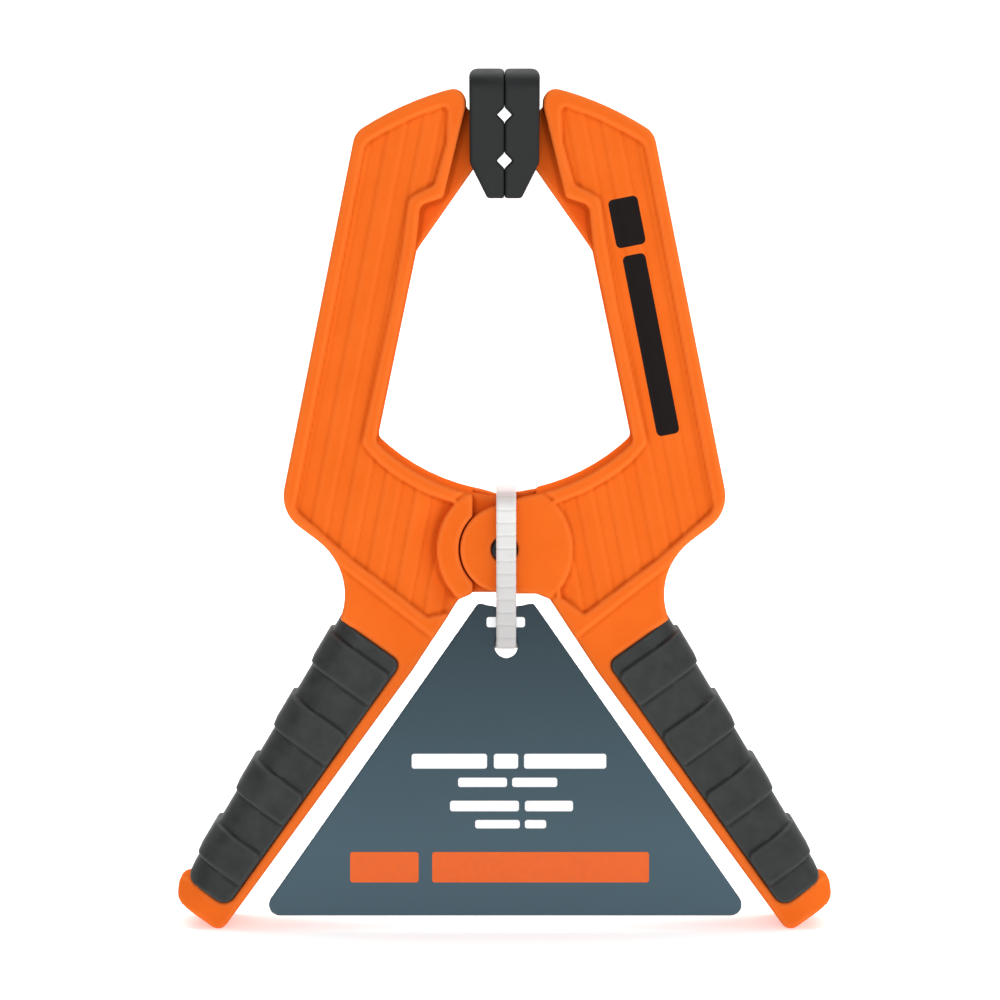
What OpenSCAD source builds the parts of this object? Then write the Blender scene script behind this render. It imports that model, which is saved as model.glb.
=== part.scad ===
// Spring clamp: two nylon arms on one pivot, closed by a torsion spring.
// Swivelling jaw pads, rubber handle grips, and a blank hang tag on a cable tie.
// X runs to the right, Y to the back and Z up. The clamp stands on its handle ends,
// and the origin lies on the floor under the pivot.

/* [Arms] */
// Depth of the arms from front to back
arm_depth = 26; // [24:0.5:28]
// How far the panel lies below the raised rim
panel_recess = 1.2; // [0.4:0.1:2]
// How far the handle root lies below the raised rim
root_recess = 0.8; // [0.4:0.1:1.5]
// Thickness of the jaw web that carries the pad
web_thickness = 10; // [8:0.5:10]
// Half width of the diamond groove openings in the pads
groove_reach = 1.8; // [1:0.1:2]

/* [Handles] */
// Angle of each handle from the vertical
handle_angle = 35.5; // [34:0.1:36]
// Length of each handle, from the pivot to its end
handle_length = 113; // [110:0.5:120]
// Wall of the rubber grip over the handle core
grip_wall = 2.8; // [2:0.1:3.5]
// How far the raised grip bands stand proud
band_height = 0.8; // [0.3:0.1:1]

/* [Pivot] */
// Radius of the pivot pin
pin_r = 3.1; // [2.6:0.1:3.2]
// Radius of the round ears on the pivot
ear_r = 10.4; // [10:0.1:10.5]
// Thickness of the outer ears
outer_ear = 4; // [3.8:0.1:4]
// Thickness of the inner ears
inner_ear = 3.8; // [3.5:0.1:3.8]

/* [Spring] */
// Diameter of the spring wire
wire_d = 2.8; // [2:0.1:2.8]
// Mean radius of the spring coil
coil_r = 7.8; // [7.4:0.1:7.8]
// Length of each spring leg inside its handle
leg_length = 50; // [30:1:50]

/* [Tie and tag] */
// Width of the cable tie strap
tie_width = 4.8; // [3.6:0.1:4.8]
// Thickness of the cable tie strap
tie_thickness = 1.3; // [1:0.1:1.3]
// Thickness of the tag card
card = 0.5; // [0.3:0.1:0.5]

/* [Hidden] */
$fn = 64;

// Running clearance round pins, and the gap between ears that pass each other
pin_gap = 0.06;
ear_gap = 0.2;
// Cutters stand out of what they cut by this much
over = 1;
half = arm_depth / 2;
root_half = half - root_recess;
core_half = 10;

// Layers of the hub, measured from the middle outwards
outer_ear_in = half - outer_ear;
inner_ear_out = outer_ear_in - ear_gap;
inner_ear_in = inner_ear_out - inner_ear;
ear_pocket_r = ear_r + 0.4;
ear_pocket_x = 7.5;
boss_r = 15.7;

// The handle's inner edge: its distance from the pivot line at the end, and its taper
inner_offset = 1.8;
inner_taper = 0.011;
function handle_inner(along) = inner_offset - inner_taper * (handle_length - along);
handle_end_r = 2.5;
flange = 2.3;
flange_outer = inner_offset + flange;
grip_start = 36;
grip_end = 107.6;
band_start = 39.8;
band_pitch = 8.75;
band_count = 4;
// Outer edge of the grip's low bands: its distance from the pivot line and its taper
grip_width_at_pivot = 24.8;
grip_taper = 0.083;
function grip_outer(along) = grip_width_at_pivot - grip_taper * along;
function core_outer(along) = grip_outer(along) - grip_wall;

// The handle ends touch the floor, which sets the height of the pivot
pivot_height = handle_end_r + (handle_length - handle_end_r) * cos(handle_angle)
    - (inner_offset + handle_end_r) * sin(handle_angle);

// Jaw pads: pivot of the right pad, its face and its depth
pad_x = 5.2;
pad_z = 96.5;
pad_face = 0.35;
pad_top = 112.7;
pad_bottom = 82;
pad_half = 14;
pad_pin_r = 1.5;
pad_pin_half = 11.6;
tongue_r = 2.6;
slot_gap = 0.4;
groove_heights = [91, 101.8];

// Spring: the legs leave the coil along the handles, after two turns and the arc between them
leg_pitch = wire_d + 0.05;
coil_turn = 2 * 360 + 180 - 2 * handle_angle;
coil_half = leg_pitch * coil_turn / 360 / 2;
channel_gap = 0.15;
spool_r = 5.2;

// Washer and rivet head behind the back ear
washer_r = 5.6;
washer_thick = 0.8;
pin_head_r = 4.6;
pin_head = 1.4;

// Tie loop round the hub, and the tag that hangs from it
tie_x = 0.4;
tie_half = half + 3.6;
tie_top = 14;
tie_bottom = -23.4;
tie_head_width = 7.4;
tie_head_length = 7;
tie_tail = 11;
tag_back = -half - 1.7;
tag_hole_r = 2.67;
tag_hole_z = -22.65;

// ---------- outline helpers ----------

steps = 8;
function unit(v) = v / norm(v);
// Points of the arc that rounds corner b between its neighbours a and c
function corner_arc(a, b, c, r) =
    let (u = unit(a - b), v = unit(c - b),
         half_angle = acos(u * v) / 2,
         centre = b + unit(u + v) * r / sin(half_angle),
         from = b + u * r / tan(half_angle) - centre,
         to = b + v * r / tan(half_angle) - centre,
         start = atan2(from.y, from.x),
         turn = (atan2(to.y, to.x) - start + 540) % 360 - 180)
    [for (i = [0:steps]) let (t = start + turn * i / steps) centre + r * [cos(t), sin(t)]];
// A closed outline from points [x, y] and rounded corners [x, y, radius]
function rounded(path) =
    let (n = len(path), flat = [for (p = path) [p.x, p.y]])
    [for (i = [0:n - 1])
        each (len(path[i]) < 3 || path[i][2] == 0 ? [flat[i]]
            : corner_arc(flat[(i + n - 1) % n], flat[i], flat[(i + 1) % n], path[i][2]))];
function arc(centre, r, from, to, n) =
    [for (i = [0:n]) let (t = from + (to - from) * i / n) centre + r * [cos(t), sin(t)]];

// Extrudes a front-view outline, drawn from the pivot, between two depths
module slab(from_y, to_y) {
    translate([0, to_y, pivot_height]) rotate([90, 0, 0]) linear_extrude(to_y - from_y) children();
}
// Turns an outline drawn across and down the handle into the front view
module along_handle() { rotate(handle_angle) children(); }
function handle_point(across, along) =
    [across * cos(handle_angle) + along * sin(handle_angle),
     across * sin(handle_angle) - along * cos(handle_angle)];
module round_bar(x, z, r, from_y, to_y) {
    translate([x, to_y, pivot_height + z]) rotate([90, 0, 0]) cylinder(r = r, h = to_y - from_y);
}

// ---------- arm ----------

// Front outline of the right arm without its handle
crotch_centre = [-2.8, 59];
crotch_r = 47.15;
brow_centre = [-6, 37.5];
brow_r = 72.6;
arm_outline = rounded(concat(
    [[9.2, 108.4, 2.8]],
    arc(brow_centre, brow_r, 74, 60, 5),
    [[34.9, 97.6, 5], [52.8, 8.7, 9], [34.6, -4.9, 16]],
    [handle_point(grip_outer(grip_start), grip_start),
     handle_point(handle_inner(grip_start), grip_start)],
    [[12.2, -14.2, 1.5], [10.6, -11.8, 1], [7.5, -10.5], [0, -10.5]],
    arc(crotch_centre, crotch_r, -86.6, -50, 8),
    [[30.2, 25.3, 1.7], [20.8, 70.3], [19.7, 80.6, 2.2], [14.3, 82.4, 1.5], [9.05, 103.5]]));

// The side of the outline that belongs to the handle root, below the diagonal band
root_side = [[60, 11], [38, -3.8], [30.2, -9.9], [17, -20.4], [10, -26], [30, -50], [70, -40]];

// The sunk panel inside the raised rim
panel_outline = rounded(concat(
    [[12.9, 104.5, 1.4]],
    arc(brow_centre, brow_r - 3.2, 72, 60, 4),
    [[32.9, 95.2, 3.5], [49.6, 9.3, 3], [36.2, -2.6], [30.2, -7.1], [18.7, -15.8, 1], [13, -11.5]],
    arc(crotch_centre, crotch_r + 2.9, -74, -50, 6),
    [[33.1, 25, 1.6], [25.8, 58.3], [23.4, 72], [22, 82.2, 2.5], [16.1, 85.2, 2], [13.2, 95.3]]));

// Thin web under the pad: a round tongue on the pad pivot, widening into the arm
web_outline = [[20.8, 69.8], [26, 72], [26, 90], [14, 103.4], [8.8, 103.4],
    [pad_x - 0.6, pad_z + 2.5], [pad_x - 2.13, pad_z - 1.5]];

module ear_pocket() {
    circle(r = ear_pocket_r);
    translate([-over, -20]) square([ear_pocket_x + over, 40]);
}

module handle_flange() {
    along_handle() polygon(rounded([
        [handle_inner(20), -20], [inner_offset, -handle_length, handle_end_r],
        [14.8, -handle_length, 3], [17.1, -108.6, 1], [16.2, -grip_end],
        [flange_outer, -grip_end], [flange_outer, -20]]));
}
module handle_core() {
    along_handle() polygon([
        [flange_outer - 0.5, -30], [flange_outer - 0.5, -grip_end - 1],
        [core_outer(grip_end), -grip_end - 1], [core_outer(grip_end), -grip_end],
        [core_outer(grip_start), -grip_start], [core_outer(grip_start), -30]]);
}
// Open channel on the handle's inner side that takes one spring leg
module leg_channel() {
    leg_y = -coil_half;
    slab(leg_y - wire_d / 2 - channel_gap, leg_y + wire_d / 2 + channel_gap)
        along_handle() translate([-over, -leg_length - 2])
            square([coil_r + wire_d / 2 + over + 0.05, leg_length]);
}
// Moulding pockets on the inner side of the handle, between cross ribs
module handle_pockets() {
    for (i = [0:2])
        slab(-7.5, 7.5) along_handle() translate([inner_offset - over, -70 - 15 * i])
            square([6 + over, 12]);
}

module arm() {
    difference() {
        union() {
            slab(-half, half) difference() {
                polygon(arm_outline);
                polygon(root_side);
            }
            slab(-root_half, root_half) polygon(arm_outline);
            slab(-root_half, root_half) handle_flange();
            slab(-core_half, core_half) handle_core();
            slab(-web_thickness / 2, web_thickness / 2) {
                polygon(web_outline);
                translate([pad_x, pad_z]) circle(r = tongue_r);
            }
        }
        for (side = [-1, 1])
            slab(side > 0 ? half - panel_recess : -half - over,
                 side > 0 ? half + over : -half + panel_recess)
                difference() {
                    polygon(panel_outline);
                    circle(r = boss_r);
                }
        slab(-outer_ear_in, inner_ear_in) ear_pocket();
        slab(inner_ear_out, half + over) ear_pocket();
        leg_channel();
        handle_pockets();
        round_bar(pad_x, pad_z, pad_pin_r, -half, half);
    }
}
module ears() {
    slab(-half, -outer_ear_in) circle(r = ear_r);
    slab(inner_ear_in, inner_ear_out) circle(r = ear_r);
}
module arm_with_ears() {
    difference() {
        union() {
            arm();
            ears();
        }
        round_bar(0, 0, pin_r + pin_gap, -half - over, half + over);
    }
}

module right_arm_body() { color("darkorange") arm_with_ears(); }
module left_arm_body() { color("orangered") rotate([0, 0, 180]) arm_with_ears(); }

// ---------- grips ----------

module grip_shape(proud, from, to, corner) {
    along_handle() polygon(rounded([
        [flange_outer, -from, corner],
        [grip_outer(from) + proud, -from, corner],
        [grip_outer(to) + proud, -to, corner],
        [flange_outer, -to, corner]]));
}
module grip() {
    difference() {
        union() {
            slab(-half, half) grip_shape(0, grip_start, grip_end, 2);
            for (i = [0:band_count - 1])
                slab(-half - band_height, half + band_height)
                    grip_shape(band_height, band_start + 2 * band_pitch * i,
                               band_start + 2 * band_pitch * i + band_pitch, 1.2);
        }
        slab(-core_half, core_half) handle_core();
    }
}
module right_grip() { color("dimgray") grip(); }
module left_grip() { color("dimgray") rotate([0, 0, 180]) grip(); }

// ---------- jaw pads ----------

function groove(z) = [[pad_face, z - groove_reach + pad_face], [groove_reach, z],
                      [pad_face, z + groove_reach - pad_face]];
pad_outline = rounded(concat(
    [[pad_face, pad_bottom, 0.5]], groove(groove_heights[0]), groove(groove_heights[1]),
    [[pad_face, pad_top, 1.2], [8.3, pad_top, 2], [8.1, 90.4, 1.2], [3.9, pad_bottom, 0.8]]));
pad_side_outline = rounded([
    [-pad_half, pad_bottom, 1], [pad_half, pad_bottom, 1],
    [pad_half, pad_top, 6], [-pad_half, pad_top, 6]]);

module jaw_pad() {
    difference() {
        intersection() {
            slab(-pad_half, pad_half) polygon(pad_outline);
            translate([0, 0, pivot_height]) rotate([90, 0, 90]) linear_extrude(10)
                polygon(pad_side_outline);
        }
        slab(-web_thickness / 2 - slot_gap, web_thickness / 2 + slot_gap) {
            translate([pad_x, pad_z]) circle(r = tongue_r + 0.3);
            polygon([[2.3, pad_z], [3.2, 88], [3.2, 80], [10, 80], [10, 104.6], [3.8, 104.6]]);
        }
        round_bar(pad_x, pad_z, pad_pin_r + pin_gap, -pad_pin_half - 0.2, pad_pin_half + 0.2);
    }
}
module pad_pin() { round_bar(pad_x, pad_z, pad_pin_r, -pad_pin_half, pad_pin_half); }

module right_jaw_pad() { color("darkslategray") jaw_pad(); }
module left_jaw_pad() { color("darkslategray") rotate([0, 0, 180]) jaw_pad(); }
module right_pad_pin() { color("silver") pad_pin(); }
module left_pad_pin() { color("silver") rotate([0, 0, 180]) pad_pin(); }

// ---------- pivot ----------

// Rivet pin: plain end at the front, and a head on a washer at the back
module pivot_pin() {
    color("dimgray") {
        round_bar(0, 0, pin_r, -half - 0.2, half + washer_thick + 0.1);
        round_bar(0, 0, pin_head_r, half + washer_thick, half + washer_thick + pin_head);
    }
}
module pin_washer() {
    color("silver") difference() {
        round_bar(0, 0, washer_r, half + 0.05, half + washer_thick);
        round_bar(0, 0, pin_r, half - over, half + washer_thick + over);
    }
}
module spring_spool() {
    spool_half = inner_ear_in - 0.1;
    color("whitesmoke") difference() {
        round_bar(0, 0, spool_r, -spool_half, spool_half);
        round_bar(0, 0, pin_r, -spool_half - over, spool_half + over);
    }
}

// ---------- torsion spring ----------

wire_sides = 12;
ring_angle = 18;
coil_rings = round(coil_turn / ring_angle);
// Centre line, from the left leg's end over the coil to the right leg's end
function coil_point(i) =
    let (a = 180 - handle_angle - coil_turn * i / coil_rings)
    [coil_r * cos(a), coil_half - 2 * coil_half * i / coil_rings, coil_r * sin(a)];
right_leg_end = handle_point(coil_r, leg_length);
spring_path = concat(
    [[-right_leg_end.x, coil_half, right_leg_end.y]],
    [for (i = [0:coil_rings]) coil_point(i)],
    [[right_leg_end.x, -coil_half, right_leg_end.y]]);
function heading(i) =
    unit(spring_path[min(i + 1, len(spring_path) - 1)] - spring_path[max(i - 1, 0)]);
function ring(i) =
    let (forward = heading(i), side = unit(cross([0, 1, 0], forward)), up = cross(forward, side))
    [for (k = [0:wire_sides - 1]) let (a = 360 * k / wire_sides)
        spring_path[i] + wire_d / 2 * (cos(a) * side + sin(a) * up)];

module torsion_spring() {
    rings = len(spring_path);
    color("silver") translate([0, 0, pivot_height]) polyhedron(
        points = [for (i = [0:rings - 1]) each ring(i)],
        faces = concat(
            [[for (k = [0:wire_sides - 1]) k]],
            [for (i = [0:rings - 2], k = [0:wire_sides - 1])
                let (next = (k + 1) % wire_sides)
                [i * wire_sides + k, (i + 1) * wire_sides + k,
                 (i + 1) * wire_sides + next, i * wire_sides + next]],
            [[for (k = [wire_sides - 1:-1:0]) (rings - 1) * wire_sides + k]]));
}

// ---------- cable tie and tag ----------

// Extrudes a side-view outline, drawn from the pivot, to a width across the tie
module across_tie(width) {
    translate([tie_x - width / 2, 0, pivot_height]) rotate([90, 0, 90])
        linear_extrude(width) children();
}
module cable_tie() {
    inner_half = tie_half - tie_thickness;
    color("white") {
        across_tie(tie_width) difference() {
            polygon(rounded([[-tie_half, tie_bottom, 1.8], [tie_half, tie_bottom, 1.8],
                             [tie_half, tie_top, 4.3], [-tie_half, tie_top, 4.3]]));
            polygon(rounded([[-inner_half, tie_bottom + tie_thickness, 0.5],
                             [inner_half, tie_bottom + tie_thickness, 0.5],
                             [inner_half, tie_top - tie_thickness, 3],
                             [-inner_half, tie_top - tie_thickness, 3]]));
        }
        // Locking head, with the cut tail behind it
        across_tie(tie_head_width) translate([-tie_head_length / 2, tie_bottom - 2.6])
            square([tie_head_length, 4.6]);
        across_tie(tie_width) translate([0, tie_bottom - 2]) square([tie_tail, tie_thickness]);
    }
}
module hang_tag() {
    color("slategray") slab(tag_back - card, tag_back) difference() {
        polygon(rounded([[-6.2, -12.4, 1], [0, -13.7], [6.8, -12.4, 1],
                         [58.3, -86.3, 2.6], [-57.9, -86.3, 2.6]]));
        translate([tie_x, tag_hole_z]) circle(r = tag_hole_r);
    }
}

left_arm_body();
right_arm_body();
left_grip();
right_grip();
left_jaw_pad();
right_jaw_pad();
left_pad_pin();
right_pad_pin();
pivot_pin();
pin_washer();
spring_spool();
torsion_spring();
cable_tie();
hang_tag();
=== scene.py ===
import math
import bpy
import numpy as np
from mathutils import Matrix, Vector


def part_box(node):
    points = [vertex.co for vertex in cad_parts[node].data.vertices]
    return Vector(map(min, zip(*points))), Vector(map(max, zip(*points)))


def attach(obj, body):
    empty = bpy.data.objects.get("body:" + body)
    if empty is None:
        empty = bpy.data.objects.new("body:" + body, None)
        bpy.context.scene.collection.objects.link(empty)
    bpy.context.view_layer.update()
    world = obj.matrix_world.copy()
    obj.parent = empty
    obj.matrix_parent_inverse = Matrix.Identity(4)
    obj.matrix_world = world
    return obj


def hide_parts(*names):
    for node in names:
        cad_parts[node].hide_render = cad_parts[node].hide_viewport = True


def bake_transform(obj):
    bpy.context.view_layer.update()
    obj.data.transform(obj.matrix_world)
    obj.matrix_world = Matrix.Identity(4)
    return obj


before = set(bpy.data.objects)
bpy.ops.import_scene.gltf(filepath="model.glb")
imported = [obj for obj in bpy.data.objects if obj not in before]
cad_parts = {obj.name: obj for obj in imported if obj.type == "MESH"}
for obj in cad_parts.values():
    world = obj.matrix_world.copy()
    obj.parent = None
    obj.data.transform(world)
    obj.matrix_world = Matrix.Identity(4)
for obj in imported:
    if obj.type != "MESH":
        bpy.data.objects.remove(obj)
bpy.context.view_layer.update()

# Shapes are worked out in millimetres from the pivot: x to the right, y to the back, z up.
MM = 0.001


def middle(node, axis):
    """The middle of a CAD node's box along one axis, in millimetres."""
    low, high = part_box(node)
    return (low[axis] + high[axis]) / 2 / MM


def reach(node, axis):
    """The high side of a CAD node's box along one axis, in millimetres."""
    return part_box(node)[1][axis] / MM


PIVOT_Z = middle("pivot_pin", 2)
HALF = reach("left_arm_body", 1)
CORE_HALF = 10.0
PAD_HALF = reach("left_jaw_pad", 1)
PAD_X = middle("right_pad_pin", 0)
PAD_Z = middle("right_pad_pin", 2) - PIVOT_Z
PAD_TOP = reach("right_jaw_pad", 2) - PIVOT_Z
PAD_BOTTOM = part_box("right_jaw_pad")[0][2] / MM - PIVOT_Z
# The visual strap's top lies this much below the CAD's
TIE_DROP = 0.35
TIE_X = middle("cable_tie", 0)
TIE_HALF = reach("cable_tie", 1)
TIE_TOP = reach("cable_tie", 2) - PIVOT_Z - TIE_DROP
TAG_Y = middle("hang_tag", 1)
PIN_R = 3.1
PIN_GAP = 0.06
EAR_R = 10.4
EAR_THICK = 4.0
INNER_EAR = (5.0, 8.8)
BOSS_R = 15.7
HANDLE_ANGLE = math.radians(35.5)
HANDLE_LENGTH = 113.0
INNER_OFFSET = 1.8
INNER_TAPER = 0.011
FLANGE_OUTER = 4.1
GRIP_OUTER = 24.8
GRIP_TAPER = 0.083
GRIP_START = 36.0
GRIP_END = 107.1
CROSS_PIN_R = 1.5
CARD_HALF = 0.25


# ---------- outlines ----------

def unit(v):
    """The vector at length 1."""
    return v / np.linalg.norm(v)


def corner_arc(a, b, c, r, steps=10):
    """Points of the arc of radius r that rounds corner b between a and c."""
    u, v = unit(a - b), unit(c - b)
    half = math.acos(np.clip(u @ v, -1, 1)) / 2
    centre = b + unit(u + v) * r / math.sin(half)
    start = b + u * r / math.tan(half) - centre
    end = b + v * r / math.tan(half) - centre
    first = math.atan2(start[1], start[0])
    turn = (math.atan2(end[1], end[0]) - first + 3 * math.pi) % (2 * math.pi) - math.pi
    angles = first + turn * np.arange(steps + 1) / steps
    return [centre + r * np.array([math.cos(t), math.sin(t)]) for t in angles]


def rounded(path):
    """A closed outline from points (x, y) and rounded corners (x, y, radius)."""
    flat = [np.array(p[:2], float) for p in path]
    points = []
    for i, p in enumerate(path):
        if len(p) > 2:
            points += corner_arc(flat[i - 1], flat[i], flat[(i + 1) % len(path)], p[2])
        else:
            points.append(flat[i])
    return np.array(points)


def arc(centre, r, start, end, n):
    """Points on an arc, with its angles in degrees."""
    angles = np.radians(np.linspace(start, end, n + 1))
    return [(centre[0] + r * math.cos(t), centre[1] + r * math.sin(t)) for t in angles]


def handle_point(across, along):
    """A point given across and down the right handle, in the front view."""
    c, s = math.cos(HANDLE_ANGLE), math.sin(HANDLE_ANGLE)
    return (across * c + along * s, across * s - along * c)


def grip_outer(along):
    """Where the grip's outer side lies across the handle."""
    return GRIP_OUTER - GRIP_TAPER * along


def handle_inner(along):
    """Where the handle's inner side lies across it: it leans in a little towards the root."""
    return INNER_OFFSET - INNER_TAPER * (HANDLE_LENGTH - along)


CROTCH_CENTRE, CROTCH_R = (-2.8, 59), 47.15
BROW_CENTRE, BROW_R = (-6, 37.5), 72.6
# The arm's straight outer side runs between these two points
SIDE_LOW, SIDE_HIGH = (52.4, 9.9), (34.9, 98.2)
PLANK_LEAN = math.atan2(SIDE_LOW[0] - SIDE_HIGH[0], SIDE_HIGH[1] - SIDE_LOW[1])

ARM_OUTLINE = rounded(
    [(9.2, 108.4, 2.8)] + arc(BROW_CENTRE, BROW_R, 74, 60, 5)
    + [(34.9, 97.6, 5), (52.8, 8.7, 9), (34.6, -4.9, 16)]
    + [handle_point(grip_outer(GRIP_START), GRIP_START),
       handle_point(handle_inner(GRIP_START), GRIP_START)]
    + [(12.2, -14.2, 1.5), (10.6, -11.8, 1), (7.5, -10.5), (0, -10.5)]
    + arc(CROTCH_CENTRE, CROTCH_R, -86.6, -50, 8)
    + [(30.2, 25.3, 1.7), (20.8, 70.3), (19.7, 80.6, 2.2), (14.3, 82.4, 1.5), (9.05, 103.5)])

# The diagonal band's lower edge: the handle root lies beyond it
ROOT_SIDE = rounded([(60, 11), (38, -3.8), (30.2, -9.9), (17, -20.4), (10, -26), (30, -140), (140, -60)])


def panel_outline(low_corner):
    """The sunk panel; its low corner by the boss differs between the arm's two faces."""
    return rounded(
        [(12.9, 104.5, 1.4)] + arc(BROW_CENTRE, BROW_R - 3.2, 72, 60, 4)
        + [(32.9, 95.2, 3.5), (49.6, 9.3, 3), (36.2, -2.6), (30.2, -7.1)] + low_corner
        + arc(CROTCH_CENTRE, CROTCH_R + 2.9, -74, -50, 6)
        + [(33.1, 25, 1.6), (25.8, 58.3), (23.4, 72), (22, 82.2, 2.5), (16.1, 85.2, 2), (13.2, 95.3)])


FRONT_PANEL = panel_outline([(18.7, -15.8, 1), (13, -11.5)])
BACK_PANEL = panel_outline([(18.2, -16.4, 1.2), (10.5, -14.6)])

WEB = rounded(
    [(20.8, 69.8), (26, 72), (26, 90), (14, 103.4), (8.8, 103.4),
     (PAD_X - 0.6, PAD_Z + 2.5), (PAD_X - 2.13, PAD_Z - 1.5)])


# ---------- solids from distance fields ----------
# A field is negative inside the solid. Corners where two fields meet are rounded by a radius.

def outline_field(points, xs, zs):
    """Signed distance to a closed outline on a grid of xs by zs."""
    px, pz = np.meshgrid(xs, zs, indexing="ij")
    nearest = np.full(px.shape, np.inf)
    inside = np.zeros(px.shape, bool)
    for (ax, az), (bx, bz) in zip(points, np.roll(points, -1, axis=0)):
        ex, ez = bx - ax, bz - az
        if ex == 0 and ez == 0:
            continue
        wx, wz = px - ax, pz - az
        t = np.clip((wx * ex + wz * ez) / (ex * ex + ez * ez), 0, 1)
        nearest = np.minimum(nearest, (wx - t * ex) ** 2 + (wz - t * ez) ** 2)
        if ez != 0:
            crosses = ((az <= pz) != (bz <= pz)) & (px < ax + ex * (pz - az) / ez)
            inside ^= crosses
    return np.where(inside, -1, 1) * np.sqrt(nearest)


def meet(a, b, r):
    """What is inside both fields, with the edge between them rounded."""
    return np.minimum(np.maximum(a, b), -r) + np.hypot(np.maximum(a + r, 0), np.maximum(b + r, 0))


def join(a, b, r):
    """Both solids together, with a fillet in the corner between them."""
    return -meet(-a, -b, r)


def carve(a, b, r):
    """The first solid without the second, with the rim rounded."""
    return meet(a, -b, r)


def step(t):
    """A smooth step from 0 at t = 0 to 1 at t = 1."""
    t = np.clip(t, 0, 1)
    return t * t * (3 - 2 * t)


def skin(axes, field):
    """A quad mesh on the field's zero surface: one point in each grid cell that it crosses."""
    xs, ys, zs = axes
    low = field < 0
    corners = [(i, j, k) for i in (0, 1) for j in (0, 1) for k in (0, 1)]
    nx, ny, nz = (n - 1 for n in low.shape)
    count = sum(low[i:nx + i, j:ny + j, k:nz + k].astype(np.int8) for i, j, k in corners)
    cells = np.argwhere((count > 0) & (count < 8))
    number = np.full(count.shape, -1, np.int64)
    number[tuple(cells.T)] = np.arange(len(cells))
    total = np.zeros((len(cells), 3))
    hits = np.zeros(len(cells))
    for a in corners:
        for axis in range(3):
            if a[axis]:
                continue
            b = tuple(1 if n == axis else a[n] for n in range(3))
            ia, ib = (cells + a).T, (cells + b).T
            fa, fb = field[tuple(ia)], field[tuple(ib)]
            cross = (fa < 0) != (fb < 0)
            t = np.where(cross, fa / np.where(cross, fa - fb, 1), 0)[:, None]
            pa = np.stack([xs[ia[0]], ys[ia[1]], zs[ia[2]]], axis=1)
            pb = np.stack([xs[ib[0]], ys[ib[1]], zs[ib[2]]], axis=1)
            total += np.where(cross[:, None], pa + t * (pb - pa), 0)
            hits += cross
    points = total / hits[:, None]
    faces = []
    for axis in range(3):
        other = [n for n in range(3) if n != axis]
        first = tuple(slice(None, -1) if n == axis else slice(1, -1) for n in range(3))
        second = tuple(slice(1, None) if n == axis else slice(1, -1) for n in range(3))
        change = np.argwhere(low[first] != low[second])
        goes_out = low[first][tuple(change.T)]
        for n in other:
            change[:, n] += 1
        quad = []
        for du, dv in ((-1, -1), (0, -1), (0, 0), (-1, 0)):
            cell = change.copy()
            cell[:, other[0]] += du
            cell[:, other[1]] += dv
            quad.append(number[tuple(cell.T)])
        quad = np.stack(quad, axis=1)
        turned = goes_out if axis != 1 else ~goes_out
        faces.append(np.where(turned[:, None], quad, quad[:, ::-1]))
    return points, np.concatenate(faces)


def mesh_object(name, points, faces):
    """A smooth-shaded object from points in millimetres from the pivot."""
    mesh = bpy.data.meshes.new(name)
    world = points * MM + np.array([0, 0, PIVOT_Z * MM])
    mesh.vertices.add(len(world))
    mesh.vertices.foreach_set("co", world.ravel())
    size = faces.shape[1]
    mesh.loops.add(faces.size)
    mesh.loops.foreach_set("vertex_index", faces.ravel())
    mesh.polygons.add(len(faces))
    mesh.polygons.foreach_set("loop_start", np.arange(0, faces.size, size))
    mesh.polygons.foreach_set("use_smooth", np.ones(len(faces), bool))
    mesh.update(calc_edges=True)
    mesh.validate()
    piece = bpy.data.objects.new(name, mesh)
    bpy.context.scene.collection.objects.link(piece)
    return piece


def edge_sharpness(points, faces, passes=2):
    """How far each point bulges (above 0) or sinks in (below 0), as a share of the mesh step."""
    after = np.roll(faces, -1, axis=1)
    pairs = np.concatenate([np.stack([faces[:, k], after[:, k]], axis=1) for k in range(4)])
    pairs = np.concatenate([pairs, pairs[:, ::-1]])
    count = np.bincount(pairs[:, 0], minlength=len(points))[:, None]

    def mean_around(values):
        total = np.stack([np.bincount(pairs[:, 0], values[pairs[:, 1], k], len(points))
                          for k in range(values.shape[1])], axis=1)
        return total / count

    first_diagonal = points[faces[:, 2]] - points[faces[:, 0]]
    second_diagonal = points[faces[:, 3]] - points[faces[:, 1]]
    normal = np.cross(first_diagonal, second_diagonal)
    corner = np.zeros_like(points)
    for k in range(4):
        np.add.at(corner, faces[:, k], normal)
    corner /= np.linalg.norm(corner, axis=1)[:, None] + 1e-9
    length = np.linalg.norm(points[pairs[:, 0]] - points[pairs[:, 1]], axis=1)
    bulge = ((points - mean_around(points)) * corner).sum(axis=1) / length.mean()
    for _ in range(passes):
        bulge = (bulge + mean_around(bulge[:, None])[:, 0]) / 2
    return bulge


def add_edges(piece, points, faces):
    """Stores the edge sharpness on the mesh, which its material uses for painted highlights along the edges
    and painted shade in the creases.
    """
    layer = piece.data.attributes.new("edge", "FLOAT", "POINT")
    layer.data.foreach_set("value", edge_sharpness(points, faces))


def half_turn(points):
    """Turns a right-hand part into its left-hand twin."""
    return points * np.array([-1, -1, 1])


def smooth_out(piece):
    """Evens out the mesh's small steps."""
    smooth = piece.modifiers.new("even", "SMOOTH")
    smooth.factor = 0.5
    smooth.iterations = 1


def place(piece, body, material, slot, *nodes):
    """Gives a piece its material and the body that it rides on, and hides the CAD nodes that it stands for.
    """
    piece.data.materials.append(material)
    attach(piece, body)
    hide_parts(*nodes)


# ---------- arm ----------

ARM_STEP = 0.48
# The grid is finer within this depth of the two faces
EDGE_STEP = 0.4
EDGE_DEPTH = 2.4
PANEL_RECESS = 1.2
ROOT_RECESS = 0.8
PLANK_WIDTH = 3.75
PLANK_STEP = 0.32
PLANK_RAMP = 0.65
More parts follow.
